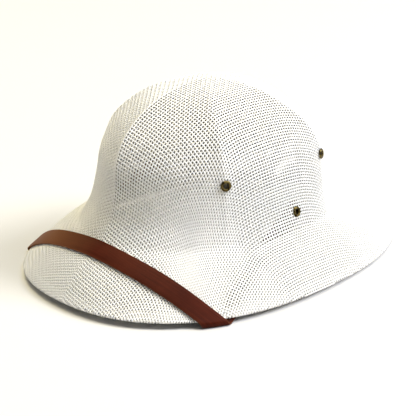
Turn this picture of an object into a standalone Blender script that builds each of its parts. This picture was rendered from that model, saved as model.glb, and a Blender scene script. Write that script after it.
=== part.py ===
"""Pith helmet: one moulded sheet of open paper-yarn mesh for crown and brim, six brass eyelets, a leather strap.

The hat faces -Y. It is shaped in its own frame first, with the rim in the plane z = 0 and the crown's axis on
x = y = 0, and then set down as it rests: on the strap where it passes under the rim, and on the back of the rim.
Angles run round the hat from its front (0) over its left side (+90, at +X) to its back (180).
Sections run from the apex (0) down the crown and out over the brim to the rim (12).
"""

import math
from collections import namedtuple

import bmesh
import bpy
from mathutils import Matrix, Vector

MM = 0.001

# Cloth: two layers of mesh pressed together.
WALL = 2.0

# Outline of the hat at each section, in mm. height is that of the front and sides, back_height that of the back.
# facet is how far the panels between the ridges are flattened (0 round, 1 flat), squareness the exponent of the
# oval (2 is an ellipse), ridge how far the pinched ridges stand up, and steps the rings down to the next section.
Section = namedtuple("Section", "name height back_height front side back facet squareness ridge steps")
SECTIONS = (
    Section("apex", 146.0, 146.0, 0.0, 0.0, 0.0, 0.84, 2.0, 0.0, 2),
    Section("top", 142.9, 142.6, 27.8, 21.7, 27.5, 0.84, 2.0, 0.6, 2),
    Section("slope", 137.0, 136.0, 51.4, 39.8, 48.0, 0.83, 2.0, 1.1, 2),
    Section("upper_shoulder", 127.0, 125.5, 70.6, 55.5, 68.7, 0.75, 2.0, 1.2, 2),
    Section("shoulder", 113.0, 110.0, 86.1, 70.6, 93.2, 0.59, 2.0, 1.0, 2),
    Section("lower_shoulder", 94.5, 90.0, 95.5, 80.0, 112.0, 0.39, 2.0, 0.5, 2),
    Section("wall", 74.0, 67.5, 98.0, 84.3, 114.4, 0.28, 2.0, 0.0, 2),
    Section("lower_wall", 54.5, 46.0, 102.8, 87.0, 114.6, 0.18, 2.0, 0.0, 2),
    Section("flare", 41.5, 32.0, 111.0, 90.5, 115.8, 0.12, 2.0, 0.0, 1),
    Section("foot", 36.8, 27.2, 115.6, 92.7, 117.0, 0.10, 2.0, 0.0, 1),
    Section("brim_root", 33.7, 25.2, 120.6, 97.0, 123.4, 0.08, 2.04, 0.0, 3),
    Section("brim", 21.6, 16.7, 136.4, 111.0, 144.8, 0.03, 2.16, 0.0, 3),
    Section("rim", 0.0, 0.0, 157.0, 129.2, 173.0, 0.0, 2.33, 0.0, 0),
)
RIM = len(SECTIONS) - 1
RIDGE_ANGLES = (0.0, 60.0, 122.0, 180.0)
RIDGE_HALF_WIDTH = 3.5
# Where the columns of the mesh stand within a panel, from one ridge (0) to the next (1).
PANEL_COLUMNS = (0.0, 0.045, 0.11, 0.2, 0.3, 0.4, 0.5, 0.6, 0.7, 0.8, 0.89, 0.955)
SMALL_TURN = math.radians(1.5)
SMALL_SECTION = 0.05
SETTLING_STEPS = 5

# Eyelets: a tube with an outer flange and an inner roll, in a hole that is a little wider.
CLEARANCE = 0.3
EYELET_SEAT = 0.45
EYELET_BORE = 2.1
EYELET_TUBE = 2.6
EYELET_FLANGE = 4.3
EYELET_ROLL = 3.7
EYELET_SIDES = 16
CUTTER_DEPTH = 16.0

# Strap: a leather tape laid over the brim, folded round the rim and led back under the brim and up inside the
# crown, where an eyelet holds each end.
STRAP_WIDTH = 15.5
STRAP_THICKNESS = 1.3
STRAP_LIFT = 0.75
STRAP_STEPS = 3
STRAP_END_STEPS = 6
FOLD_STEPS = 6
# The angle and section of the strap's rear and front edge at places along its left half.
StrapPlace = namedtuple("StrapPlace", "rear_angle rear_section front_angle front_section")
STRAP_OVER_BRIM = (
    StrapPlace(0.0, 8.50, 0.0, 10.44),
    StrapPlace(11.0, 9.12, 7.9, 10.52),
    StrapPlace(21.0, 9.98, 15.9, 10.67),
    StrapPlace(30.2, 10.40, 23.7, 10.87),
    StrapPlace(38.4, 10.79, 30.9, 11.12),
    StrapPlace(45.8, 11.20, 37.7, 11.38),
    StrapPlace(52.4, 11.59, 43.9, 11.67),
    StrapPlace(58.4, 12.00, 49.6, 12.00),
)
STRAP_UNDER_BRIM = (
    StrapPlace(61.1, 12.00, 52.3, 12.00),
    StrapPlace(64.6, 11.72, 58.9, 11.36),
    StrapPlace(68.7, 11.40, 63.1, 10.96),
    StrapPlace(73.1, 11.06, 67.5, 10.51),
    StrapPlace(77.8, 10.67, 72.4, 9.90),
    StrapPlace(83.3, 10.23, 78.4, 8.55),
    StrapPlace(89.7, 9.20, 85.7, 7.54),
    StrapPlace(96.9, 8.16, 93.3, 7.08),
    StrapPlace(104.5, 7.45, 100.5, 6.69),
)
# The strap's cross-section, as shares of its width and thickness: flat below, with rounded upper edges.
STRAP_OUTLINE = (
    (0.0, 0.0),
    (0.33, 0.0),
    (0.67, 0.0),
    (1.0, 0.0),
    (1.0, 0.6),
    (0.97, 1.0),
    (0.67, 1.0),
    (0.33, 1.0),
    (0.03, 1.0),
    (0.0, 0.6),
)

# Length of the tube between flange and roll. The panels beside a ridge lie RIDGE_FALL below it at a roll's edge.
RIDGE_FALL = 0.9
VENT_GRIP = EYELET_SEAT + WALL + RIDGE_FALL + CLEARANCE
STRAP_GRIP = EYELET_SEAT + WALL + STRAP_LIFT + STRAP_THICKNESS + CLEARANCE
Eyelet = namedtuple("Eyelet", "name angle section grip")
EYELETS = (
    Eyelet("vent_eyelet_{}_front", 60.0, 5.55, VENT_GRIP),
    Eyelet("vent_eyelet_{}_back", 122.0, 5.53, VENT_GRIP),
    Eyelet("strap_eyelet_{}", 97.6, 7.36, STRAP_GRIP),
)
SIDES = (("left", 1), ("right", -1))


def blend(before, start, end, after, t):
    """Catmull-Rom curve from start (t = 0) to end (t = 1)."""
    tangent = (end - before) / 2
    bend = before - 2.5 * start + 2 * end - after / 2
    twist = 1.5 * (start - end) + (after - before) / 2
    return start + t * (tangent + t * (bend + t * twist))


def section_values(section):
    """The table's columns at any section between two rows, as numbers."""
    rows = [row[1:-1] for row in SECTIONS]
    height, back_height, front, side, back, *rest = rows[1]
    beyond_apex = (height, back_height, -front, -side, -back, *rest)
    beyond_rim = [2 * last - before for last, before in zip(rows[-1], rows[-2])]
    rows = [beyond_apex, *rows, beyond_rim]
    i = min(int(section), RIM - 1)
    return [blend(*column, section - i) for column in zip(*rows[i : i + 4])]


def panel_of(turn):
    """The ridges on both sides of an angle, in radians."""
    ridges = [math.radians(angle) for angle in RIDGE_ANGLES]
    for before, after in zip(ridges, ridges[1:]):
        if turn <= after:
            return before, after
    return ridges[-2:]


def signed_power(value, exponent):
    return math.copysign(abs(value) ** exponent, value)


def outer_point(angle, section):
    """A point of the cloth's outer face; angle in radians."""
    height, back_height, front, side, back, facet, squareness, ridge = section_values(section)
    turn = abs(math.remainder(angle, 2 * math.pi))
    before, after = panel_of(turn)
    middle = (before + after) / 2
    flat = math.cos((after - before) / 2) / math.cos(turn - middle)
    flattened = 1 - facet * (1 - flat)
    depth = front if math.cos(turn) > 0 else back
    x = side * flattened * signed_power(math.sin(angle), 2 / squareness)
    y = -depth * flattened * signed_power(math.cos(angle), 2 / squareness)
    from_ridge = min(turn - before, after - turn) * math.hypot(x, y)
    rise = ridge * math.exp(-((from_ridge / RIDGE_HALF_WIDTH) ** 2))
    grown = 1 + rise / max(math.hypot(x, y), 1.0)
    behind = math.cos(turn) ** 2 if math.cos(turn) < 0 else 0.0
    return Vector((x * grown, y * grown, height + (back_height - height) * behind))


def surface_frame(angle, section):
    """A point of the cloth's outer face, the unit normal there, and the unit vector down the slope."""
    low = max(section - SMALL_SECTION, SMALL_SECTION)
    high = min(section + SMALL_SECTION, RIM)
    along = outer_point(angle + SMALL_TURN, section) - outer_point(angle - SMALL_TURN, section)
    down = outer_point(angle, high) - outer_point(angle, low)
    normal = down.cross(along).normalized()
    return outer_point(angle, section), normal, along.cross(normal).normalized()


def column_angles():
    """The angle of each column of the mesh, all the way round."""
    half = []
    for before, after in zip(RIDGE_ANGLES, RIDGE_ANGLES[1:]):
        half += [before + (after - before) * share for share in PANEL_COLUMNS]
    other_half = [-angle for angle in half[:0:-1]]
    return [math.radians(angle) for angle in [*half, 180.0, *other_half]]


def ring_sections():
    """The section of each ring of the mesh, from just below the apex to the rim."""
    rings = []
    for i, section in enumerate(SECTIONS):
        rings += [i + step / section.steps for step in range(section.steps)]
    return [*rings[1:], RIM]


def shell_rings():
    """Rings of points from the apex down the outer face, round the rim's flat edge and up the inner face."""
    apex = Vector((0, 0, SECTIONS[0].height))
    angles = column_angles()
    outer = [[apex] * len(angles)]
    inner = [[apex - Vector((0, 0, WALL))] * len(angles)]
    for section in ring_sections():
        frames = [surface_frame(angle, section) for angle in angles]
        outer.append([point for point, _, _ in frames])
        inner.append([point - WALL * normal for point, normal, _ in frames])
    for i, (point, normal, _) in enumerate(frames):
        flat = Vector((normal.x, normal.y, 0))
        inner[-1][i] = point - flat * (WALL / flat.length_squared)
    return outer + inner[::-1]


def next_ring(bm, ring):
    """Extrudes a closed ring of vertices; the new vertices come in the same order."""
    edges = [bm.edges.get((ring[i - 1], ring[i])) for i in range(len(ring))]
    made = bmesh.ops.extrude_edge_only(bm, edges=edges)["geom"]
    new = {item for item in made if isinstance(item, bmesh.types.BMVert)}
    neighbours = [[edge.other_vert(vert) for edge in vert.link_edges] for vert in ring]
    return [next(vert for vert in around if vert in new) for around in neighbours]


def lofted(rings):
    """A closed surface through the rings; an end ring that is one point closes there, any other gets a cap."""
    bm = bmesh.new()
    ring = bmesh.ops.create_circle(bm, segments=len(rings[0]), radius=1.0)["verts"]
    for vert, point in zip(ring, rings[0]):
        vert.co = point * MM
    for points in rings[1:]:
        ring = next_ring(bm, ring)
        for vert, point in zip(ring, points):
            vert.co = point * MM
    bmesh.ops.remove_doubles(bm, verts=bm.verts, dist=0.00001)
    bmesh.ops.holes_fill(bm, edges=bm.edges)
    bmesh.ops.recalc_face_normals(bm, faces=bm.faces)
    return bm


def turned(profile, sides):
    """A ring-shaped solid: a closed profile of (radius, height) points spun round Z."""
    bm = bmesh.new()
    verts = [bm.verts.new((radius * MM, 0, height * MM)) for radius, height in profile]
    edges = [bm.edges.new((verts[i - 1], verts[i])) for i in range(len(verts))]
    bmesh.ops.spin(
        bm, geom=verts + edges, cent=(0, 0, 0), axis=(0, 0, 1), angle=2 * math.pi, steps=sides, use_merge=True
    )
    bmesh.ops.remove_doubles(bm, verts=bm.verts, dist=0.00001)
    bmesh.ops.recalc_face_normals(bm, faces=bm.faces)
    return bm


def make_material(name, colour, roughness, metallic=0.0):
    material = bpy.data.materials.new(name)
    material.use_nodes = True
    shader = material.node_tree.nodes["Principled BSDF"]
    shader.inputs["Base Color"].default_value = (*colour, 1)
    shader.inputs["Roughness"].default_value = roughness
    shader.inputs["Metallic"].default_value = metallic
    return material


def make_object(name, bm, material, parent):
    mesh = bpy.data.meshes.new(name)
    bm.to_mesh(mesh)
    bm.free()
    mesh.shade_smooth()
    mesh.set_sharp_from_angle(angle=math.radians(40))
    mesh.materials.append(material)
    obj = bpy.data.objects.new(name, mesh)
    bpy.context.scene.collection.objects.link(obj)
    obj.parent = parent
    return obj


def eyelet_placement(angle, section):
    """Where an eyelet sits: Z points out of the cloth, and z = 0 is the underside of its flange."""
    point, normal, _ = surface_frame(angle, section)
    seat = point + normal * EYELET_SEAT
    return Matrix.Translation(seat * MM) @ normal.to_track_quat("Z", "Y").to_matrix().to_4x4()


def eyelet_profile(grip):
    """Half of the eyelet's cross-section: flange outside, tube through the cloth, roll inside."""
    return (
        (EYELET_BORE, 0.5),
        (EYELET_BORE + 0.5, 0.9),
        (EYELET_FLANGE - 0.9, 0.9),
        (EYELET_FLANGE, 0.35),
        (EYELET_FLANGE, 0.0),
        (EYELET_TUBE, 0.0),
        (EYELET_TUBE, -grip),
        (EYELET_ROLL, -grip),
        (EYELET_ROLL, -grip - 0.5),
        (EYELET_BORE, -grip - 0.7),
    )


def make_eyelets(material, parent):
    for eyelet in EYELETS:
        for side, sign in SIDES:
            bm = turned(eyelet_profile(eyelet.grip), EYELET_SIDES)
            obj = make_object(eyelet.name.format(side), bm, material, parent)
            obj.matrix_local = eyelet_placement(sign * math.radians(eyelet.angle), eyelet.section)


def make_hole_cutter(parent):
    """One guide mesh that holds a peg for each eyelet's hole."""
    bm = bmesh.new()
    for eyelet in EYELETS:
        for _, sign in SIDES:
            bmesh.ops.create_cone(
                bm,
                cap_ends=True,
                segments=EYELET_SIDES,
                radius1=(EYELET_TUBE + CLEARANCE) * MM,
                radius2=(EYELET_TUBE + CLEARANCE) * MM,
                depth=CUTTER_DEPTH * MM,
                matrix=eyelet_placement(sign * math.radians(eyelet.angle), eyelet.section),
            )
    mesh = bpy.data.meshes.new("hole_cutter")
    bm.to_mesh(mesh)
    bm.free()
    cutter = bpy.data.objects.new("hole_cutter", mesh)
    bpy.context.scene.collection.objects.link(cutter)
    cutter.parent = parent
    cutter.hide_render = True
    cutter.display_type = "WIRE"
    return cutter


def cut_holes(obj, cutter):
    holes = obj.modifiers.new("eyelet holes", "BOOLEAN")
    holes.operation = "DIFFERENCE"
    holes.solver = "EXACT"
    holes.object = cutter


def smooth_places(places, shares):
    """Places along a smooth curve through the given ones; shares holds the steps of each stretch between two."""
    before = [2 * a - b for a, b in zip(places[0], places[1])]
    after = [2 * a - b for a, b in zip(places[-1], places[-2])]
    rows = [before, *places, after]
    route = []
    for i, steps in enumerate(shares):
        for step in range(steps):
            route.append(StrapPlace(*(blend(*column, step / steps) for column in zip(*rows[i : i + 4]))))
    return [*route, places[-1]]


def strap_point(place, turn, across, height):
    """A point of the strap: across from its rear edge (0) to its front one (1), height above its lower face.

    turn is 0 where the strap lies over the brim, pi where it lies under it, and between them in the fold.
    """
    angle = place.rear_angle + (place.front_angle - place.rear_angle) * across
    section = place.rear_section + (place.front_section - place.rear_section) * across
    point, normal, down = surface_frame(math.radians(angle), section)
    out = normal * math.cos(turn) + down * math.sin(turn)
    return point - normal * (WALL / 2) + out * (WALL / 2 + STRAP_LIFT + height)


def strap_stations():
    """The places and turns of the strap's left half, from the hat's front to the end inside the crown."""
    over = smooth_places(STRAP_OVER_BRIM, [STRAP_STEPS] * (len(STRAP_OVER_BRIM) - 1))
    under = smooth_places(STRAP_UNDER_BRIM, [STRAP_STEPS] * (len(STRAP_UNDER_BRIM) - 2) + [STRAP_END_STEPS])
    stations = [(place, 0.0) for place in over]
    for step in range(1, FOLD_STEPS):
        share = step / FOLD_STEPS
        place = StrapPlace(*(a + (b - a) * share for a, b in zip(over[-1], under[0])))
        stations.append((place, math.pi * share))
    return stations + [(place, math.pi) for place in under]


def strap_rings():
    """Rings of points round the strap, from its right end to its left end."""
    stations = strap_stations()
    tip = strap_point(*stations[-1], 0.5, 0.0)
    reach = STRAP_WIDTH / 2
    half = []
    for place, turn in stations:
        to_tip = (strap_point(place, turn, 0.5, 0.0) - tip).length
        short = max(1 - to_tip / reach, 0.0)
        wide = max(math.sqrt(1 - short**2), 0.3)
        ring = []
        for across, height in STRAP_OUTLINE:
            ring.append(strap_point(place, turn, 0.5 + (across - 0.5) * wide, height * STRAP_THICKNESS))
        half.append(ring)
    mirrored = [[Vector((-point.x, point.y, point.z)) for point in ring] for ring in half[:0:-1]]
    return mirrored + half


def set_down(holder, shell, strap):
    """Tips the hat back until the strap's two folds and the back of the rim touch z = 0, and centres it."""
    folds = [vertex.co for vertex in strap.data.vertices]
    rim = [vertex.co for vertex in shell.data.vertices if vertex.co.y > 0]
    tilt = 0.0
    for _ in range(SETTLING_STEPS):
        turn = Matrix.Rotation(tilt, 4, "X")
        fold = min((turn @ point for point in folds), key=lambda point: point.z)
        back = min((turn @ point for point in rim), key=lambda point: point.z)
        tilt += math.atan2(fold.z - back.z, back.y - fold.y)
    placed = [turn @ vertex.co for vertex in shell.data.vertices]
    middle = (min(point.y for point in placed) + max(point.y for point in placed)) / 2
    holder.matrix_world = Matrix.Translation((0, -middle, -fold.z)) @ turn


def main():
    for obj in list(bpy.data.objects):
        bpy.data.objects.remove(obj, do_unlink=True)
    straw = make_material("woven paper yarn, bleached", (0.86, 0.85, 0.80), 0.8)
    leather = make_material("split leather, dyed brown", (0.16, 0.045, 0.022), 0.5)
    brass = make_material("antiqued brass", (0.25, 0.17, 0.08), 0.4, 1.0)
    holder = bpy.data.objects.new("resting_hat", None)
    bpy.context.scene.collection.objects.link(holder)
    shell = make_object("crown_and_brim", lofted(shell_rings()), straw, holder)
    strap = make_object("chin_strap", lofted(strap_rings()), leather, holder)
    cutter = make_hole_cutter(holder)
    cut_holes(shell, cutter)
    cut_holes(strap, cutter)
    make_eyelets(brass, holder)
    set_down(holder, shell, strap)


main()
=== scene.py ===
"""Pith helmet of open paper-yarn mesh with a leather chin strap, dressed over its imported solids.

Every length is in millimetres, and the hat is worked out in its own frame: rim in the plane z = 0, crown axis on
x = y = 0, front at -Y. RESTING then sets it down as the solids stand, in metres.
"""

import math
from collections import namedtuple

import bmesh
import bpy
import numpy as np
from mathutils import Matrix, Vector


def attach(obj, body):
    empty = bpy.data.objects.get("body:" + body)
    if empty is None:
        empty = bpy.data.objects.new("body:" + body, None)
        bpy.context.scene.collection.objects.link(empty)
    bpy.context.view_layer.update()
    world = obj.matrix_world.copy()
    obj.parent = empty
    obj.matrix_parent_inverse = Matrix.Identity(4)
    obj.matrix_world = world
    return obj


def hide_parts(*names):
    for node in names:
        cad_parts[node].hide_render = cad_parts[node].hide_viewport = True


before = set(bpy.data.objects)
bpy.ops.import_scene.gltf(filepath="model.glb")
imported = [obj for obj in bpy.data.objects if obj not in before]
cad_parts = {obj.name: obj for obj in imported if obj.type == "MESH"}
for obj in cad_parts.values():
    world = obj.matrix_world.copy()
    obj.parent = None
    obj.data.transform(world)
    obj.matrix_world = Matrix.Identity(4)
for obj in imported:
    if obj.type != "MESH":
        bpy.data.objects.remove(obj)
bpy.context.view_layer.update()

MM = 0.001
TINY = 1e-9
REST_TILT = math.radians(-0.8108)
REST_SHIFT = (0.0, -8.0, 2.448)
RESTING = Matrix.Scale(MM, 4) @ Matrix.Translation(REST_SHIFT) @ Matrix.Rotation(REST_TILT, 4, "X")

# The hat's outline from apex to rim: height, height at the back, front, side, back, facet, squareness, ridge.
OUTLINE = np.array(
    [
        (146.0, 146.0, 0.0, 0.0, 0.0, 0.84, 2.0, 0.0),
        (142.9, 142.6, 27.8, 21.7, 27.5, 0.84, 2.0, 0.6),
        (137.0, 136.0, 51.4, 39.8, 48.0, 0.83, 2.0, 1.1),
        (127.0, 125.5, 70.6, 55.5, 68.7, 0.75, 2.0, 1.2),
        (113.0, 110.0, 86.1, 70.6, 93.2, 0.59, 2.0, 1.0),
        (94.5, 90.0, 95.5, 80.0, 112.0, 0.39, 2.0, 0.5),
        (74.0, 67.5, 98.0, 84.3, 114.4, 0.28, 2.0, 0.0),
        (54.5, 46.0, 102.8, 87.0, 114.6, 0.18, 2.0, 0.0),
        (41.5, 32.0, 111.0, 90.5, 115.8, 0.12, 2.0, 0.0),
        (36.8, 27.2, 115.6, 92.7, 117.0, 0.10, 2.0, 0.0),
        (33.7, 25.2, 120.6, 97.0, 123.4, 0.08, 2.04, 0.0),
        (21.6, 16.7, 136.4, 111.0, 144.8, 0.03, 2.16, 0.0),
        (0.0, 0.0, 157.0, 129.2, 173.0, 0.0, 2.33, 0.0),
    ]
)
RIM = len(OUTLINE) - 1
BEYOND_APEX = OUTLINE[1] * (1, 1, -1, -1, -1, 1, 1, 1)
OUTLINE = np.vstack([BEYOND_APEX, OUTLINE, 2 * OUTLINE[-1] - OUTLINE[-2]])
# The ridges pinched into the crown: where they are round it, and how far from its line each one fades.
RIDGES = np.radians([0.0, 60.0, 122.0, 180.0])
RIDGE_HALF_WIDTHS = np.array([3.5, 7.0, 5.0, 5.0])
WALL = 2.0
# How far apart, in sections, two places are taken to find the hat's slope under a wide piece.
WIDE_REACH = 0.1

# The mesh: each layer's cloth is laid on the crown at one spot behind the apex and smoothed down from there.
# turn and lean are in degrees: how far the whole cloth is turned, and how far its left-to-right yarns lean more.
# Its pitches are from one crossing yarn to the next, along a front-to-back yarn and along a left-to-right one.
# depth is how far under the hat's outer face its middle lies, and crimp how far a yarn weaves to each side of that.
Layer = namedtuple("Layer", "name middle turn lean pitches depth width thickness crimp")
LAYERS = (
    Layer("outer", (0.0, 21.3), 0.0, 2.5, (2.764, 2.414), 0.45, 1.2, 0.6, 0.27),
    Layer("inner", (-0.11, 23.54), -0.26, 2.5, (2.812, 2.422), 1.65, 1.15, 0.6, 0.27),
)
# The cloth was drawn together to this share where it was pressed into the brim, between two sections.
BRIM_PITCH = 0.91
PRESSED_FROM = 9.3
PRESSED_OVER = 1.4
YARNS_OUT = 118
SHORTEST_YARN = 4
# The most of the room beside it that a yarn fills, the room where it has no neighbour, and how uneven yarns are.
CROWDING = 0.62
FREE_ROOM = 9.0
UNEVENNESS = 0.06
SHELL_END = 13.0
# How far a crossing's squared distance to a neighbour may be off before the drape ends there, in square mm.
LOOSEST = 0.25
# A yarn's cut end is moved out by its share of the next step only where that share is more than this.
SHORTEST_STUB = 0.08
# At the rim the outer layer is turned in round this section, and its hem covers the inner layer's edge.
EDGE = 11.95
HEM = 0.25
RIM_BEND = 0.35

Eyelet = namedtuple("Eyelet", "name angle section grip")
EYELETS = (
    Eyelet("vent_eyelet_{}_front", 60.0, 5.55, 3.65),
    Eyelet("vent_eyelet_{}_back", 122.0, 5.53, 3.65),
    Eyelet("strap_eyelet_{}", 97.6, 7.36, 4.8),
)
EYELET_SEAT = 0.45
EYELET_SIDES = 32
HOLE = 2.9
SIDES = (("left", 1), ("right", -1))
SHARP_ANGLE = math.radians(50)

# The record's names for the three finishes.
STRAW = "woven paper yarn, bleached"
LEATHER = "split leather, dyed brown"
BRASS = "antiqued brass"

STRAP_WIDTH = 15.5
STRAP_THICKNESS = 1.3
STRAP_EDGE = 0.3
STRAP_COLUMNS = 6
STRAP_LIFT = 0.75
STRAP_STEPS = 8
FOLD_STEPS = 14
TIP_WIDTH = 0.25
# Where along the strap, from its middle towards the wearer's right, a painted sheen starts to pale the leather and
# where it is full: the bright floor's reflection painted into its colour.
PAINTED_SHEEN_SPAN = (5.0, -62.0)
# The angle and section of the strap's rear edge and front edge, at places along its left half.
STRAP_OVER_BRIM = (
    (0.0, 8.50, 0.0, 10.44),
    (11.0, 9.12, 7.9, 10.52),
    (21.0, 9.98, 15.9, 10.67),
    (30.2, 10.40, 23.7, 10.87),
    (38.4, 10.79, 30.9, 11.12),
    (45.8, 11.20, 37.7, 11.38),
    (52.4, 11.59, 43.9, 11.67),
    (58.4, 12.00, 49.6, 12.00),
)
STRAP_UNDER_BRIM = (
    (61.1, 12.00, 52.3, 12.00),
    (64.6, 11.72, 58.9, 11.36),
    (68.7, 11.40, 63.1, 10.96),
    (73.1, 11.06, 67.5, 10.51),
    (77.8, 10.67, 72.4, 9.90),
    (83.3, 10.23, 78.4, 8.55),
    (89.7, 9.20, 85.7, 7.54),
    (96.9, 8.16, 93.3, 7.08),
    (104.5, 7.45, 100.5, 6.69),
)


def curve_between(before, start, end, after, t):
    """Catmull-Rom curve from start (t = 0) to end (t = 1)."""
    tangent = (end - before) / 2
    bend = before - 2.5 * start + 2 * end - after / 2
    twist = 1.5 * (start - end) + (after - before) / 2
    return start + t * (tangent + t * (bend + t * twist))


def hat_surface(place):
    """Points of the hat's outer face. A place is (section * sin angle, -section * cos angle), so it has no seam."""
    section = np.clip(np.hypot(place[..., 0], place[..., 1]), 0, SHELL_END)
    angle = np.arctan2(place[..., 0], -place[..., 1])
    row = np.minimum(section.astype(int), RIM - 1)
    share = (section - row)[..., None]
    values = curve_between(OUTLINE[row], OUTLINE[row + 1], OUTLINE[row + 2], OUTLINE[row + 3], share)
    height, back_height, front, side, back, facet, squareness, ridge = np.moveaxis(values, -1, 0)
    turn = np.abs(angle)
    panel = np.clip(np.searchsorted(RIDGES, turn, side="right") - 1, 0, len(RIDGES) - 2)
    before, after = RIDGES[panel], RIDGES[panel + 1]
    flat = np.cos((after - before) / 2) / np.cos(turn - (after + before) / 2)
    flattened = 1 - facet * (1 - flat)
    cos, sin = np.cos(angle), np.sin(angle)
    depth = np.where(cos > 0, front, back)
    x = side * flattened * np.sign(sin) * np.abs(sin) ** (2 / squareness)
    y = -depth * flattened * np.sign(cos) * np.abs(cos) ** (2 / squareness)
    out = np.hypot(x, y)
    nearest = panel + (turn - before > after - turn)
    from_ridge = np.minimum(turn - before, after - turn) * out
    rise = ridge * np.exp(-((from_ridge / RIDGE_HALF_WIDTHS[nearest]) ** 2))
    grown = 1 + rise / np.maximum(out, 1)
    behind = np.where(cos < 0, cos**2, 0)
    return np.stack([x * grown, y * grown, height + (back_height - height) * behind], -1)


def unit(vectors):
    return vectors / np.maximum(np.linalg.norm(vectors, axis=-1, keepdims=True), TINY)


def hat_normal(place, reach=0.03):
    """Unit vectors out of the hat's outer face."""
    across = hat_surface(place + (reach, 0)) - hat_surface(place - (reach, 0))
    back = hat_surface(place + (0, reach)) - hat_surface(place - (0, reach))
    return unit(np.cross(across, back))


def toward_rim(place, section, out):
    """Unit vectors down the hat's face towards its rim, square to out."""
    inward = 0.02 / np.maximum(section, 1)[:, None]
    down = hat_surface(place) - hat_surface(place * (1 - inward))
    return unit(down - (down * out).sum(-1, keepdims=True) * out)


def settle(place, misfit, rounds=6, nudge=1e-4, longest=0.12):
    """Moves places over the hat until both of their misfits are nil, by Newton's method."""
    for _ in range(rounds):
        here = misfit(hat_surface(place))
        by_a = (misfit(hat_surface(place + (nudge, 0))) - here) / nudge
        by_b = (misfit(hat_surface(place + (0, nudge))) - here) / nudge
        area = by_a[..., 0] * by_b[..., 1] - by_a[..., 1] * by_b[..., 0]
        area = np.where(np.abs(area) < TINY, TINY, area)
        move_a = (here[..., 1] * by_b[..., 0] - here[..., 0] * by_b[..., 1]) / area
        move_b = (here[..., 0] * by_a[..., 1] - here[..., 1] * by_a[..., 0]) / area
        move = np.stack([move_a, move_b], -1)
        length = np.linalg.norm(move, axis=-1, keepdims=True)
        place = place + move * np.minimum(1, longest / np.maximum(length, 1e-12))
    return place


def pitch_at(place, pitch):
    """The mesh is drawn together a little where it was pressed out into the brim."""
    section = np.hypot(place[..., 0], place[..., 1])
    share = np.clip((section - PRESSED_FROM) / PRESSED_OVER, 0, 1)
    return pitch * (1 + (BRIM_PITCH - 1) * share * share * (3 - 2 * share))


def first_yarn(middle, heading, pitch):
    """Places a pitch apart, from the middle of the cloth along a heading, in one upright plane."""
    ahead = np.array([math.sin(heading), -math.cos(heading)])
    aside = np.array([ahead[1], -ahead[0]])
    start = settle(np.array([0.0, 1.0]), lambda point: point[..., :2] - middle, rounds=30)
    places = [start]
    guess = start + ahead * 0.1
    for _ in range(YARNS_OUT):
        last = hat_surface(places[-1])
        step = pitch_at(places[-1], pitch)

        def misfit(point):
            gap = ((point - last) ** 2).sum(-1) - step**2
            return np.stack([gap, (point[..., :2] - middle) @ aside * 4], -1)

        place = settle(guess, misfit, rounds=8)
        places.append(place)
        guess = 2 * place - places[-2]
        if np.hypot(*place) > SHELL_END:
            break
    yarn = np.full((YARNS_OUT, 2), np.nan)
    count = min(len(places), YARNS_OUT)
    yarn[:count] = places[:count]
    yarn[np.hypot(yarn[:, 0], yarn[:, 1]) > SHELL_END] = np.nan
    return yarn


def draped_quarter(along, across, pitches):
    """One quarter of the mesh's crossings: each lies a pitch from both neighbours nearer the middle."""
    places = np.full((YARNS_OUT, YARNS_OUT, 2), np.nan)
    places[:, 0] = along
    places[0, :] = across
    for diagonal in range(2, 2 * YARNS_OUT - 1):
        i = np.arange(max(1, diagonal - YARNS_OUT + 1), min(diagonal - 1, YARNS_OUT - 1) + 1)
        j = diagonal - i
        known = ~np.isnan(places[i - 1, j, 0] + places[i, j - 1, 0])
        i, j = i[known], j[known]
        if not len(i):
            break
        one, other = hat_surface(places[i - 1, j]), hat_surface(places[i, j - 1])
        lengths = (pitch_at(places[i - 1, j], pitches[0]), pitch_at(places[i, j - 1], pitches[1]))

        def misfit(point):
            gaps = [((point - near) ** 2).sum(-1) - length**2 for near, length in zip((one, other), lengths)]
            return np.stack(gaps, -1)

        place = settle(places[i - 1, j] + places[i, j - 1] - places[i - 1, j - 1], misfit)
        left = np.abs(misfit(hat_surface(place))).max(-1)
        good = (left < LOOSEST) & (np.hypot(place[:, 0], place[:, 1]) < SHELL_END)
        places[i[good], j[good]] = place[good]
    return places


def draped(layer):
    """All crossings of a layer as places on the hat: rows run front to back, columns left to right."""
    grid = np.full((2 * YARNS_OUT - 1, 2 * YARNS_OUT - 1, 2), np.nan)
    middle = np.array(layer.middle)
    turn, lean = math.radians(layer.turn), math.radians(layer.lean)
    centre = YARNS_OUT - 1
    steps = np.arange(YARNS_OUT)
    pitches = layer.pitches
    ahead = {1: first_yarn(middle, turn, pitches[0]), -1: first_yarn(middle, math.pi + turn, pitches[0])}
    aside = {
        1: first_yarn(middle, math.pi / 2 + turn + lean, pitches[1]),
        -1: first_yarn(middle, -math.pi / 2 + turn + lean, pitches[1]),
    }
    for along in (1, -1):
        for across in (1, -1):
            quarter = draped_quarter(ahead[along], aside[across], pitches)
            grid[np.ix_(centre + along * steps, centre + across * steps)] = quarter
    return grid


def linear(colour):
    """A hex sRGB colour as linear light, with alpha."""
    parts = [int(colour[i : i + 2], 16) / 255 for i in (1, 3, 5)]
    return (*[part / 12.92 if part <= 0.04045 else ((part + 0.055) / 1.055) ** 2.4 for part in parts], 1.0)


def add(tree, kind, settings=(), **links):
    """Adds a node. settings are its properties, or inputs by name; links give the output that feeds an input."""
    node = tree.nodes.new(kind)
    for key, value in dict(settings).items():
        if hasattr(node, key):
            setattr(node, key, value)
        else:
            node.inputs[key].default_value = value
    for key, output in links.items():
        tree.links.new(output, node.inputs[key.replace("_", " ")])
    return node


# The sockets of a colour Mix node: its two colours and its result.
MIX_A, MIX_B, MIX_RESULT = 6, 7, 2


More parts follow.
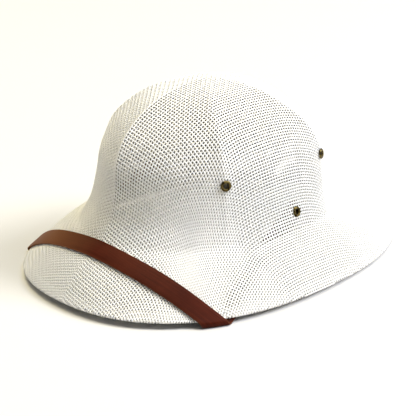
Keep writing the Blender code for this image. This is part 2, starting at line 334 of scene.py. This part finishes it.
def new_material(name):
    material = bpy.data.materials.new(name)
    material.use_nodes = True
    return material, material.node_tree, material.node_tree.nodes["Principled BSDF"]


# Paper yarn: a strip of kraft-like paper, bleached and twisted. It is matt, with a faint sheen along the twist. Real
# paper lets a little light through; this finish leaves that out, so light from behind reaches the mesh's inside only
# through its holes.
def paper_yarn(name, pale, dull):
    material, tree, shader = new_material(name)
    place = add(tree, "ShaderNodeUVMap", {"uv_map": "along_yarn"})
    spot = add(tree, "ShaderNodeTexCoord")
    cloudy = add(tree, "ShaderNodeTexNoise", {"Scale": 28.0, "Detail": 3.0}, Vector=spot.outputs["Object"])
    streak_place = add(tree, "ShaderNodeMapping", {"Scale": (0.35, 5.0, 1.0)}, Vector=place.outputs["UV"])
    streaks = add(tree, "ShaderNodeTexNoise", {"Scale": 1.0, "Detail": 2.0}, Vector=streak_place.outputs["Vector"])
    both = add(tree, "ShaderNodeMath", {"operation": "ADD"})
    tree.links.new(cloudy.outputs["Fac"], both.inputs[0])
    tree.links.new(streaks.outputs["Fac"], both.inputs[1])
    ramp = add(tree, "ShaderNodeMapRange", {"From Min": 0.7, "From Max": 1.3}, Value=both.outputs["Value"])
    colour = add(tree, "ShaderNodeMix", {"data_type": "RGBA"}, Factor=ramp.outputs["Result"])
    colour.inputs[MIX_A].default_value = linear(dull)
    colour.inputs[MIX_B].default_value = linear(pale)
    tree.links.new(colour.outputs[MIX_RESULT], shader.inputs["Base Color"])
    twist_place = add(tree, "ShaderNodeMapping", {"Scale": (1.0, 2.0, 1.0)}, Vector=place.outputs["UV"])
    twist = add(
        tree,
        "ShaderNodeTexWave",
        {"wave_type": "BANDS", "bands_direction": "DIAGONAL", "Scale": 0.35, "Distortion": 1.0},
        Vector=twist_place.outputs["Vector"],
    )
    bump = add(tree, "ShaderNodeBump", {"Strength": 0.25, "Distance": 0.0001}, Height=twist.outputs["Fac"])
    tree.links.new(bump.outputs["Normal"], shader.inputs["Normal"])
    shader.inputs["Roughness"].default_value = 0.62
    shader.inputs["Specular IOR Level"].default_value = 0.35
    shader.inputs["IOR"].default_value = 1.5
    return material


# Split leather, drum-dyed brown and finished with a thin coat: fine creased grain and faint streaks along the strip
# from the cutting, a soft low shine, a paler tan where the coat is rubbed off its edges, and a paler stretch towards
# the wearer's right that is a painted sheen, the bright floor's reflection painted into the colour.
def dyed_leather():
    material, tree, shader = new_material("split leather, drum-dyed brown and finished")
    spot = add(tree, "ShaderNodeTexCoord")
    place = add(tree, "ShaderNodeUVMap", {"uv_map": "along_strap"})
    patches = add(tree, "ShaderNodeTexNoise", {"Scale": 45.0, "Detail": 4.0}, Vector=spot.outputs["Object"])
    streak_place = add(tree, "ShaderNodeMapping", {"Scale": (0.02, 0.9, 1.0)}, Vector=place.outputs["UV"])
    streaks = add(tree, "ShaderNodeTexNoise", {"Scale": 1.0, "Detail": 3.0}, Vector=streak_place.outputs["Vector"])
    mottle = add(tree, "ShaderNodeMath", {"operation": "ADD"})
    tree.links.new(patches.outputs["Fac"], mottle.inputs[0])
    tree.links.new(streaks.outputs["Fac"], mottle.inputs[1])
    spread = add(tree, "ShaderNodeMapRange", {"From Min": 0.75, "From Max": 1.25}, Value=mottle.outputs["Value"])
    dyed = add(tree, "ShaderNodeMix", {"data_type": "RGBA"}, Factor=spread.outputs["Result"])
    dyed.inputs[MIX_A].default_value = linear("#39140a")
    dyed.inputs[MIX_B].default_value = linear("#4b1d10")
    parts = add(tree, "ShaderNodeSeparateXYZ", Vector=place.outputs["UV"])
    # Painted sheen: the leather turns paler towards the wearer's right, where the bright floor's reflection is
    # painted into its colour.
    sheen_share = add(tree, "ShaderNodeMapRange", {"From Min": PAINTED_SHEEN_SPAN[0], "From Max": PAINTED_SHEEN_SPAN[1]},
                Value=parts.outputs["X"])
    with_painted_sheen = add(tree, "ShaderNodeMix", {"data_type": "RGBA"}, Factor=sheen_share.outputs["Result"])
    tree.links.new(dyed.outputs[MIX_RESULT], with_painted_sheen.inputs[MIX_A])
    with_painted_sheen.inputs[MIX_B].default_value = linear("#734a2f")
    to_middle = add(tree, "ShaderNodeMath", {"operation": "ABSOLUTE"})
    tree.links.new(parts.outputs["Y"], to_middle.inputs[0])
    half = STRAP_WIDTH / 2
    rubbed = add(tree, "ShaderNodeMapRange", {"From Min": half - 0.7, "From Max": half + 0.2, "To Max": 0.4},
                 Value=to_middle.outputs["Value"])
    colour = add(tree, "ShaderNodeMix", {"data_type": "RGBA"}, Factor=rubbed.outputs["Result"])
    tree.links.new(with_painted_sheen.outputs[MIX_RESULT], colour.inputs[MIX_A])
    colour.inputs[MIX_B].default_value = linear("#7a5236")
    tree.links.new(colour.outputs[MIX_RESULT], shader.inputs["Base Color"])
    grain = add(tree, "ShaderNodeTexVoronoi", {"feature": "DISTANCE_TO_EDGE", "Scale": 1100.0},
                Vector=spot.outputs["Object"])
    creases = add(tree, "ShaderNodeBump", {"Strength": 0.35, "Distance": 0.0001}, Height=grain.outputs["Distance"])
    waves = add(tree, "ShaderNodeBump", {"Strength": 0.12, "Distance": 0.0006}, Height=mottle.outputs["Value"],
                Normal=creases.outputs["Normal"])
    tree.links.new(waves.outputs["Normal"], shader.inputs["Normal"])
    shader.inputs["Roughness"].default_value = 0.5
    shader.inputs["Specular IOR Level"].default_value = 0.05
    return material


# Brass, stamped, oxidised brown and tumbled: dull dark metal, brighter where the tumbling rubbed it.
def antiqued_brass():
    material, tree, shader = new_material("brass, stamped and antiqued")
    spot = add(tree, "ShaderNodeTexCoord")
    tarnish = add(tree, "ShaderNodeTexNoise", {"Scale": 600.0, "Detail": 3.0}, Vector=spot.outputs["Object"])
    spread = add(tree, "ShaderNodeMapRange", {"From Min": 0.4, "From Max": 0.62}, Value=tarnish.outputs["Fac"])
    colour = add(tree, "ShaderNodeMix", {"data_type": "RGBA"}, Factor=spread.outputs["Result"])
    colour.inputs[MIX_A].default_value = linear("#241c0d")
    colour.inputs[MIX_B].default_value = linear("#786a42")
    tree.links.new(colour.outputs[MIX_RESULT], shader.inputs["Base Color"])
    shader.inputs["Metallic"].default_value = 1.0
    shader.inputs["Roughness"].default_value = 0.38
    return material


def add_piece(name, mesh, material, slot, *nodes):
    """Puts a finished mesh on the hat in place of the solids it stands for."""
    mesh.materials.append(material)
    piece = bpy.data.objects.new(name, mesh)
    bpy.context.scene.collection.objects.link(piece)
    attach(piece, "root")
    if nodes:
        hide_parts(*nodes)
    return piece


def eyelet_spot(angle, section):
    place = section * np.array([math.sin(angle), -math.cos(angle)])
    return hat_surface(place), place


def clearance(points):
    """How far points on the hat's outer face are outside the nearest eyelet hole."""
    centres = np.array([eyelet_spot(s * math.radians(e.angle), e.section)[0] for e in EYELETS for _, s in SIDES])
    return np.linalg.norm(points[:, None] - centres, axis=-1).min(-1) - HOLE


# A yarn's cross-section, as shares of its width and thickness: flattened, and plainer in the inner layer.
YARN_SHAPES = {
    "outer": np.array([(-0.5, 0.0), (-0.27, -0.46), (0.27, -0.46), (0.5, 0.0), (0.27, 0.46), (-0.27, 0.46)]),
    "inner": np.array([(-0.5, 0.0), (-0.27, -0.46), (0.27, -0.46), (0.5, 0.0), (0.0, 0.5)]),
}


def yarn_rings(centre, out, width, thickness, shape):
    """Rings of points round a yarn: across it, and along its outward direction."""
    ahead = unit(np.gradient(centre, axis=0))
    aside = unit(np.cross(ahead, out))
    out = np.cross(aside, ahead)
    wide = aside[:, None] * (width[:, None, None] * shape[None, :, :1])
    thick = out[:, None] * (thickness * shape[None, :, 1:])
    return centre[:, None] + wide + thick


def kept_runs(amount):
    """Stretches of a yarn where amount is positive, as the first and last index of each."""
    inside = np.concatenate([[False], amount > 0, [False]])
    starts = np.flatnonzero(~inside[:-1] & inside[1:])
    ends = np.flatnonzero(inside[:-1] & ~inside[1:]) - 1
    return list(zip(starts, ends))


def trimmed(values, amount, first, last):
    """A stretch of values, with each end moved out to where amount reaches zero."""
    run = values[first : last + 1]
    if first > 0 and np.isfinite(amount[first - 1]):
        share = amount[first] / (amount[first] - amount[first - 1])
        if share > SHORTEST_STUB:
            run = np.concatenate([[values[first] + (values[first - 1] - values[first]) * share], run])
    if last + 1 < len(values) and np.isfinite(amount[last + 1]):
        share = amount[last] / (amount[last] - amount[last + 1])
        if share > SHORTEST_STUB:
            run = np.concatenate([run, [values[last] + (values[last + 1] - values[last]) * share]])
    return run


def with_rim_points(place, over, width):
    """Adds three points to a yarn where it goes round the rim: before, on and behind the edge."""
    section = np.hypot(place[:, 0], place[:, 1])
    places, overs, widths, turns = [], [], [], []
    for i in range(len(place)):
        places.append(place[i])
        overs.append(over[i])
        widths.append(width[i])
        turns.append(math.pi if section[i] > EDGE else 0.0)
        if i + 1 < len(place) and (section[i] > EDGE) != (section[i + 1] > EDGE):
            share = (EDGE - section[i]) / (section[i + 1] - section[i])
            bend = (0.0, math.pi / 2, math.pi) if section[i] < EDGE else (math.pi, math.pi / 2, 0.0)
            for turn in bend:
                places.append(place[i] + (place[i + 1] - place[i]) * share)
                overs.append(0.0)
                widths.append(width[i])
                turns.append(turn)
    return np.array(places), np.array(overs), np.array(widths), np.array(turns)


def room_beside(grid, rows, column, face):
    """The distance from a yarn to its nearer neighbour, square to its run."""
    ahead = unit(np.gradient(face, axis=0))
    gaps = [np.full(len(rows), FREE_ROOM)]
    for neighbour in (column - 1, column + 1):
        if 0 <= neighbour < grid.shape[1]:
            near = grid[rows, neighbour]
            gap = hat_surface(np.nan_to_num(near, nan=0.0)) - face
            gap[~np.isfinite(near[:, 0])] = np.nan
            gaps.append(np.linalg.norm(gap - (gap * ahead).sum(-1, keepdims=True) * ahead, axis=-1))
    return np.nanmin(np.array(gaps), axis=0)


def yarn_run(layer, place, over, turn):
    """A yarn's centre line, its outward direction there, and the hat's face over it, folded in round the rim."""
    section = np.hypot(place[:, 0], place[:, 1])
    reflected = np.where(turn == math.pi, 2 * EDGE - section, section)
    folded = place * (reflected / np.maximum(section, 1e-6))[:, None]
    face = hat_surface(folded)
    near_rim = np.clip((np.hypot(folded[:, 0], folded[:, 1]) - EDGE + RIM_BEND) / RIM_BEND, 0, 1)[:, None]
    out = unit(hat_normal(folded) * (1 - near_rim * (0.0, 0.0, 1.0)))
    down = toward_rim(folded, section, out)
    lift = out * np.cos(turn)[:, None] + down * np.sin(turn)[:, None]
    if layer.name == "outer":
        shallow, deep = (each.depth for each in LAYERS)
        centre = face - out * ((shallow + deep) / 2) + lift * ((deep - shallow) / 2)
    else:
        centre = face - out * layer.depth
    return centre + lift * (layer.crimp * over)[:, None], lift, face


def woven_family(layer, grid, crossways, noise):
    """Rings of every yarn of one family of a layer: front-to-back ones, or left-to-right ones where crossways."""
    if crossways:
        grid = np.swapaxes(grid, 0, 1)
    hemmed = layer.name == "outer"
    end = EDGE + HEM if hemmed else EDGE - HEM
    yarns = []
    known = np.isfinite(grid[..., 0])
    for column in range(grid.shape[1]):
        rows = np.flatnonzero(known[:, column])
        if len(rows) < SHORTEST_YARN:
            continue
        rows = np.arange(rows[0], rows[-1] + 1)
        place = grid[rows, column]
        over = np.where((rows + column + crossways) % 2 == 0, 1.0, -1.0)
        turn = np.zeros(len(place))
        room = room_beside(grid, rows, column, hat_surface(place))
        width = np.minimum(layer.width * (1 + UNEVENNESS * noise.standard_normal()), room * CROWDING)
        if hemmed:
            place, over, width, turn = with_rim_points(place, over, width)
        centre, lift, face = yarn_run(layer, place, over, turn)
        # What is left of the yarn: up to its end past the rim, and clear of the eyelets' holes.
        amount = np.minimum(end - np.hypot(place[:, 0], place[:, 1]), clearance(face) / 3)
        for first, last in kept_runs(amount):
            if last - first < 1:
                continue
            parts = [trimmed(value, amount, first, last) for value in (centre, lift, width)]
            yarns.append(yarn_rings(parts[0], unit(parts[1]), parts[2], layer.thickness, YARN_SHAPES[layer.name]))
    return yarns


def yarn_mesh(name, yarns):
    """One mesh of all yarns of a family, each a closed tube with a UV map in mm along it."""
    sides = yarns[0].shape[1]
    faces, uvs = [], []
    base = 0
    around = np.arange(sides)
    for rings in yarns:
        count = len(rings)
        length = np.concatenate([[0], np.cumsum(np.linalg.norm(np.diff(rings.mean(1), axis=0), axis=-1))])
        start = base + np.arange(count - 1)[:, None] * sides
        beside = (around + 1) % sides
        quads = np.stack([start + around, start + beside, start + sides + beside, start + sides + around], -1)
        faces += quads.reshape(-1, 4).tolist()
        u, v = length[:, None], around[None] / sides
        low, high = np.broadcast_to(u[:-1], (count - 1, sides)), np.broadcast_to(u[1:], (count - 1, sides))
        left = np.broadcast_to(v, low.shape)
        right = left + 1 / sides
        corners = np.stack([low, left, low, right, high, right, high, left], -1)
        uvs.append(corners.reshape(-1))
        faces.append((base + around[::-1]).tolist())
        faces.append((base + (count - 1) * sides + around).tolist())
        uvs.append(np.zeros(4 * sides))
        base += count * sides
    points = np.concatenate([rings.reshape(-1, 3) for rings in yarns])
    turn = np.array(RESTING)
    points = points @ turn[:3, :3].T + turn[:3, 3]
    mesh = bpy.data.meshes.new(name)
    mesh.from_pydata(points.tolist(), [], faces)
    layer = mesh.uv_layers.new(name="along_yarn")
    layer.data.foreach_set("uv", np.concatenate(uvs).astype(np.float32))
    mesh.shade_smooth()
    return mesh


def make_cloth():
    noise = np.random.default_rng(7)
    finish = {
        "outer": paper_yarn("paper yarn, bleached and woven", "#f6f6f4", "#ececea"),
        # The inner layer's yarns are the same bleached paper. Their grey is painted shade, the shade they sit in
        # under the outer layer, so the holes read dark.
        "inner": paper_yarn("paper yarn, bleached and woven, inner layer", "#aaa79e", "#98958b"),
    }
    for layer in LAYERS:
        grid = draped(layer)
        for crossways, name in ((0, "front_to_back"), (1, "left_to_right")):
            yarns = woven_family(layer, grid, crossways, noise)
            half = len(yarns) // 2
            for half_name, half_yarns in (("a", yarns[:half]), ("b", yarns[half:])):
                part_name = f"{layer.name}_{name}_yarns_{half_name}"
                mesh = yarn_mesh(part_name, half_yarns)
                add_piece(part_name, mesh, finish[layer.name], STRAW, "crown_and_brim")


def strap_points(places, across, height):
    """Points of the strap at a share across it and a height over its lower face, one for each place and turn."""
    rear_angle, rear_section, front_angle, front_section, turn = np.array(places).T
    angle = np.radians(rear_angle + (front_angle - rear_angle) * across)
    section = rear_section + (front_section - rear_section) * across
    place = np.stack([section * np.sin(angle), -section * np.cos(angle)], -1)
    point, normal = hat_surface(place), hat_normal(place, WIDE_REACH)
    out = normal * np.cos(turn)[:, None] + toward_rim(place, section, normal) * np.sin(turn)[:, None]
    return point - normal * (WALL / 2) + out * (WALL / 2 + STRAP_LIFT + height)


def smooth_run(points, steps):
    """A smooth curve through points, steps to each stretch between two."""
    rows = np.vstack([2 * points[0] - points[1], points, 2 * points[-1] - points[-2]])
    run = []
    for i in range(len(points) - 1):
        run += [curve_between(*rows[i : i + 4], step / steps) for step in range(steps)]
    return np.array([*run, points[-1]])


def strap_line(across, height):
    """The strap's left half along one line, from the hat's front to its end inside the crown."""
    over = strap_points([(*place, 0.0) for place in STRAP_OVER_BRIM], across, height)
    mirrored = over[1:3][::-1] * (-1, 1, 1)
    smoothed = np.vstack([mirrored, over])
    smoothed[1:-1] = (smoothed[:-2] + 2 * smoothed[1:-1] + smoothed[2:]) / 4
    over = smooth_run(smoothed[1:], STRAP_STEPS)[STRAP_STEPS:]
    fold_start, fold_end = np.array(STRAP_OVER_BRIM[-1]), np.array(STRAP_UNDER_BRIM[0])
    shares = np.arange(1, FOLD_STEPS) / FOLD_STEPS
    fold = [(*(fold_start + (fold_end - fold_start) * share), math.pi * share) for share in shares]
    under = strap_points([(*place, math.pi) for place in STRAP_UNDER_BRIM], across, height)
    return np.vstack([over, strap_points(fold, across, height), smooth_run(under, STRAP_STEPS)])


def make_strap():
    """The strap as one flat strip with round ends, laid along its two halves' lines and given its thickness."""
    middle = strap_line(0.5, 0.0)
    to_tip = np.linalg.norm(middle - middle[-1], axis=-1)
    short = np.clip(1 - to_tip / (STRAP_WIDTH / 2), 0, 1)
    wide = np.maximum(np.sqrt(1 - short**2), TIP_WIDTH)[:, None]
    run = np.concatenate([[0], np.cumsum(np.linalg.norm(np.diff(middle, axis=0), axis=-1))])
    count, columns = len(middle), STRAP_COLUMNS
    faces = []
    for height in (0.0, STRAP_THICKNESS):
        centre = strap_line(0.5, height)
        faces.append([centre + (strap_line(i / columns, height) - centre) * wide for i in range(columns + 1)])
    bm = bmesh.new()
    flat = bm.verts.layers.float_vector.new("flat")
    along = bm.loops.layers.uv.new("along_strap")
    verts = bmesh.ops.create_grid(bm, x_segments=2 * count - 2, y_segments=columns, size=1.0)["verts"]
    lows = []
    for vert in verts:
        step = round((vert.co.x + 1) * (count - 1)) - (count - 1)
        column = round((vert.co.y + 1) / 2 * columns)
        side = -1 if step < 0 else 1
        step = abs(step)
        vert[flat] = (side * run[step], (column / columns - 0.5) * STRAP_WIDTH, 0)
        lows.append(Vector(faces[0][column][step] * (side, 1, 1)))
        vert.co = Vector(faces[1][column][step] * (side, 1, 1))
    made = bmesh.ops.extrude_face_region(bm, geom=bm.faces[:] + bm.edges[:] + verts)
    bottom = [item for item in made["geom"] if isinstance(item, bmesh.types.BMVert)]
    for low, twin in zip(lows, bottom):
        twin.co = low
    bmesh.ops.recalc_face_normals(bm, faces=bm.faces)
    for face in bm.faces:
        for loop in face.loops:
            loop[along].uv = loop.vert[flat].xy
    edges = [edge for edge in bm.edges if edge.calc_face_angle(0) > SHARP_ANGLE]
    bmesh.ops.bevel(bm, geom=edges, offset=STRAP_EDGE, segments=2, profile=0.5, affect="EDGES", material=-1)
    bmesh.ops.transform(bm, matrix=RESTING, verts=bm.verts)
    mesh = bpy.data.meshes.new("chin_strap_leather")
    bm.to_mesh(mesh)
    bm.free()
    mesh.shade_smooth()
    mesh.set_sharp_from_angle(angle=SHARP_ANGLE)
    add_piece("chin_strap_leather", mesh, dyed_leather(), LEATHER, "chin_strap")


def eyelet_profile(grip):
    """Radius and height of each corner of half an eyelet: rounded flange outside, tube, roll inside."""
    flange = ((2.1, 0.0), (2.2, 0.55), (2.55, 0.9), (3.05, 1.0), (3.6, 0.85), (4.05, 0.45), (4.3, -0.15), (2.6, 0.0))
    roll = ((2.6, 0.0), (3.3, 0.0), (3.7, -0.15), (3.7, -0.45), (3.2, -0.7), (2.3, -0.7), (2.1, -0.4))
    return (*flange, *((radius, height - grip) for radius, height in roll))


def make_eyelets():
    finish = antiqued_brass()
    for eyelet in EYELETS:
        for side, sign in SIDES:
            point, place = eyelet_spot(sign * math.radians(eyelet.angle), eyelet.section)
            normal = Vector(hat_normal(place, WIDE_REACH))
            turn = normal.to_track_quat("Z", "Y").to_matrix().to_4x4()
            matrix = RESTING @ Matrix.Translation(Vector(point) + normal * EYELET_SEAT) @ turn
            bm = bmesh.new()
            verts = [bm.verts.new((radius, 0, height)) for radius, height in eyelet_profile(eyelet.grip)]
            edges = [bm.edges.new((verts[i - 1], verts[i])) for i in range(len(verts))]
            bmesh.ops.spin(bm, geom=verts + edges, cent=(0, 0, 0), axis=(0, 0, 1), angle=2 * math.pi,
                           steps=EYELET_SIDES, use_merge=True)
            bmesh.ops.remove_doubles(bm, verts=bm.verts, dist=0.001)
            bmesh.ops.recalc_face_normals(bm, faces=bm.faces)
            bmesh.ops.transform(bm, matrix=matrix, verts=bm.verts)
            node = eyelet.name.format(side)
            mesh = bpy.data.meshes.new(node + "_ring")
            bm.to_mesh(mesh)
            bm.free()
            mesh.shade_smooth()
            mesh.set_sharp_from_angle(angle=SHARP_ANGLE)
            add_piece(node + "_ring", mesh, finish, BRASS, node)


# The photograph's view of the hat, in the hat's own frame.
VIEW_AZIMUTH = math.radians(46.38)
VIEW_ELEVATION = math.radians(19.46)
VIEW_ROLL = math.radians(1.06)
VIEW_DISTANCE = 1053.0
VIEW_TARGET = Vector((0.0, 0.0, 60.0))
FRAME_SIDE = 416
FOCAL_PIXELS = 1285.0
TARGET_PIXEL = (206.69, 177.76)
SENSOR = 36.0


def direction(azimuth, elevation):
    """Unit vector from the hat towards an azimuth, counted from its front over its left side, and an elevation."""
    flat = math.cos(elevation)
    return Vector((math.sin(azimuth) * flat, -math.cos(azimuth) * flat, math.sin(elevation)))


def make_camera():
    back = direction(VIEW_AZIMUTH, VIEW_ELEVATION)
    level = Vector((math.cos(VIEW_AZIMUTH), math.sin(VIEW_AZIMUTH), 0))
    upright = back.cross(level)
    cos, sin = math.cos(VIEW_ROLL), math.sin(VIEW_ROLL)
    right, up = level * cos - upright * sin, level * sin + upright * cos
    turn = Matrix((right, up, back)).transposed().to_4x4()
    spot, angle, _ = (RESTING @ Matrix.Translation(VIEW_TARGET + back * VIEW_DISTANCE) @ turn).decompose()
    camera = bpy.data.objects.new("camera", bpy.data.cameras.new("camera"))
    camera.matrix_world = Matrix.Translation(spot) @ angle.to_matrix().to_4x4()
    camera.data.sensor_width = SENSOR
    camera.data.lens = FOCAL_PIXELS / FRAME_SIDE * SENSOR
    camera.data.shift_x = (FRAME_SIDE / 2 - TARGET_PIXEL[0]) / FRAME_SIDE
    camera.data.shift_y = (TARGET_PIXEL[1] - FRAME_SIDE / 2) / FRAME_SIDE
    camera.data.clip_start = 0.05
    camera.data.clip_end = 50.0
    bpy.context.scene.collection.objects.link(camera)
    bpy.context.scene.camera = camera


# A white studio tent: big soft lamps from over the hat, its left and its back, and a warm one from its right.
Light = namedtuple("Light", "name azimuth elevation distance size watts colour")
LIGHTS = (
    Light("overhead", 0.0, 88.0, 6.0, 3.0, 205.0, "#fff2d4"),
    Light("side_top", 130.0, 64.0, 6.0, 3.0, 115.0, "#b4ccff"),
    Light("side_key", 130.0, 38.0, 6.0, 3.0, 395.0, "#fffdfb"),
    Light("warm_fill", -110.0, 64.0, 6.0, 3.0, 150.0, "#fff2b4"),
)
LIT_HEIGHT = 0.06
SKY_LIGHT = 0.15
FLOOR_HALF = 6.0
FLOOR_COLOUR = "#d2d2d2"


def make_lights():
    for light in LIGHTS:
        lamp = bpy.data.lights.new(light.name, "AREA")
        lamp.shape = "DISK"
        lamp.size = light.size
        lamp.energy = light.watts
        lamp.color = linear(light.colour)[:3]
        toward = direction(math.radians(light.azimuth), math.radians(light.elevation))
        holder = bpy.data.objects.new(light.name, lamp)
        holder.location = toward * light.distance + Vector((0, 0, LIT_HEIGHT))
        holder.rotation_euler = toward.to_track_quat("Z", "Y").to_euler()
        bpy.context.scene.collection.objects.link(holder)


def make_studio():
    bm = bmesh.new()
    bmesh.ops.create_grid(bm, x_segments=1, y_segments=1, size=FLOOR_HALF)
    mesh = bpy.data.meshes.new("studio_floor")
    bm.to_mesh(mesh)
    bm.free()
    material, _, shader = new_material("studio floor, matt pale paper")
    shader.inputs["Base Color"].default_value = linear(FLOOR_COLOUR)
    shader.inputs["Roughness"].default_value = 0.9
    mesh.materials.append(material)
    floor = bpy.data.objects.new("studio_floor", mesh)
    bpy.context.scene.collection.objects.link(floor)
    world = bpy.data.worlds.new("studio")
    world.use_nodes = True
    background = world.node_tree.nodes["Background"]
    background.inputs["Color"].default_value = linear("#ffffff")
    background.inputs["Strength"].default_value = SKY_LIGHT
    bpy.context.scene.world = world
    bpy.context.scene.view_settings.view_transform = "Standard"


make_cloth()
make_strap()
make_eyelets()
make_camera()
make_lights()
make_studio()
